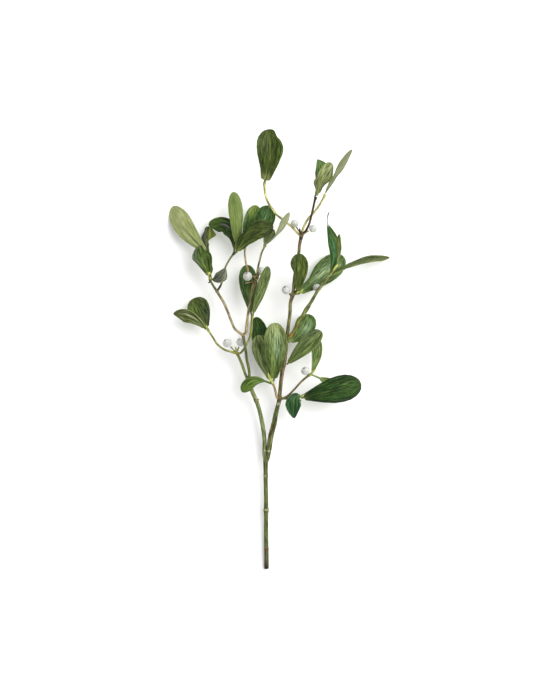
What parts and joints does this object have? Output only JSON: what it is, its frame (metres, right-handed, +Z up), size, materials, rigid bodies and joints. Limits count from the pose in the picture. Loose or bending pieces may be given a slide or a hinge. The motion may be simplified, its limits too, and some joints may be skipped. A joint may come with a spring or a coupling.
{
  "type": "mistletoe bunch",
  "caption": "Cut spray of mistletoe lying on its side: a forked woody stem with leathery rounded leaves at the twig ends and small white berries.",
  "frame": {"origin": "middle of the spray's outline on the table it lies on", "axes": "+Y from the cut end of the stem to the tips, +X to the right seen from above, +Z up from the table"},
  "size_m": [0.2216, 0.441, 0.0514],
  "materials": {
    "leaf_green": "waxy dark green with fine lengthwise veins",
    "leaf_pale": "matte pale green underside",
    "stem_green": "olive green bark, satin",
    "twig_brown": "olive brown bark, satin",
    "twig_light": "yellow green bark, satin",
    "berry": "pearly white with a tiny dark scar"
  },
  "bodies": {
    "root": {"main_stem": "stem_green", "left_branch": "stem_green", "left_berry_sprig": "twig_light", "left_upper_sprig": "twig_brown", "right_branch": "twig_brown", "low_twig_left": "twig_brown", "low_twig_right": "twig_brown", "side_branch": "twig_light", "top_fork": "twig_brown", "leaf_left_round": "leaf_green", "leaf_left_point": "leaf_green", "leaf_outer_dark": "leaf_green", "leaf_outer_pale": "leaf_pale", "leaf_outer_curled": "leaf_green", "leaf_outer_small": "leaf_green", "leaf_crown_dark": "leaf_green", "leaf_crown_pale": "leaf_pale", "leaf_crown_broad": "leaf_green", "leaf_crown_back": "leaf_green", "leaf_crown_shiny": "leaf_green", "leaf_crown_thin": "leaf_pale", "leaf_crown_short": "leaf_green", "leaf_centre_wide": "leaf_green", "leaf_centre_narrow": "leaf_green", "leaf_top": "leaf_green", "leaf_peak_front": "leaf_green", "leaf_peak_back": "leaf_green", "leaf_peak_thin": "leaf_pale", "leaf_right_upright": "leaf_green", "leaf_right_broad": "leaf_green", "leaf_right_blue": "leaf_green", "leaf_right_edge": "leaf_green", "leaf_right_long": "leaf_green", "leaf_side_back": "leaf_green", "leaf_side_dark": "leaf_green", "leaf_side_narrow": "leaf_green", "leaf_low_hidden": "leaf_green", "leaf_low_broad": "leaf_green", "leaf_low_curled": "leaf_green", "leaf_inner_front": "leaf_green", "leaf_inner_olive": "leaf_green", "leaf_inner_back": "leaf_green", "leaf_inner_arched": "leaf_green", "berry_left_outer": "berry", "berry_left_inner": "berry", "berry_centre_front": "berry", "berry_centre_back": "berry", "berry_top_left": "berry", "berry_top_right": "berry", "berry_right_high": "berry", "berry_right_side": "berry", "berry_low": "berry"}
  },
  "joints": []
}
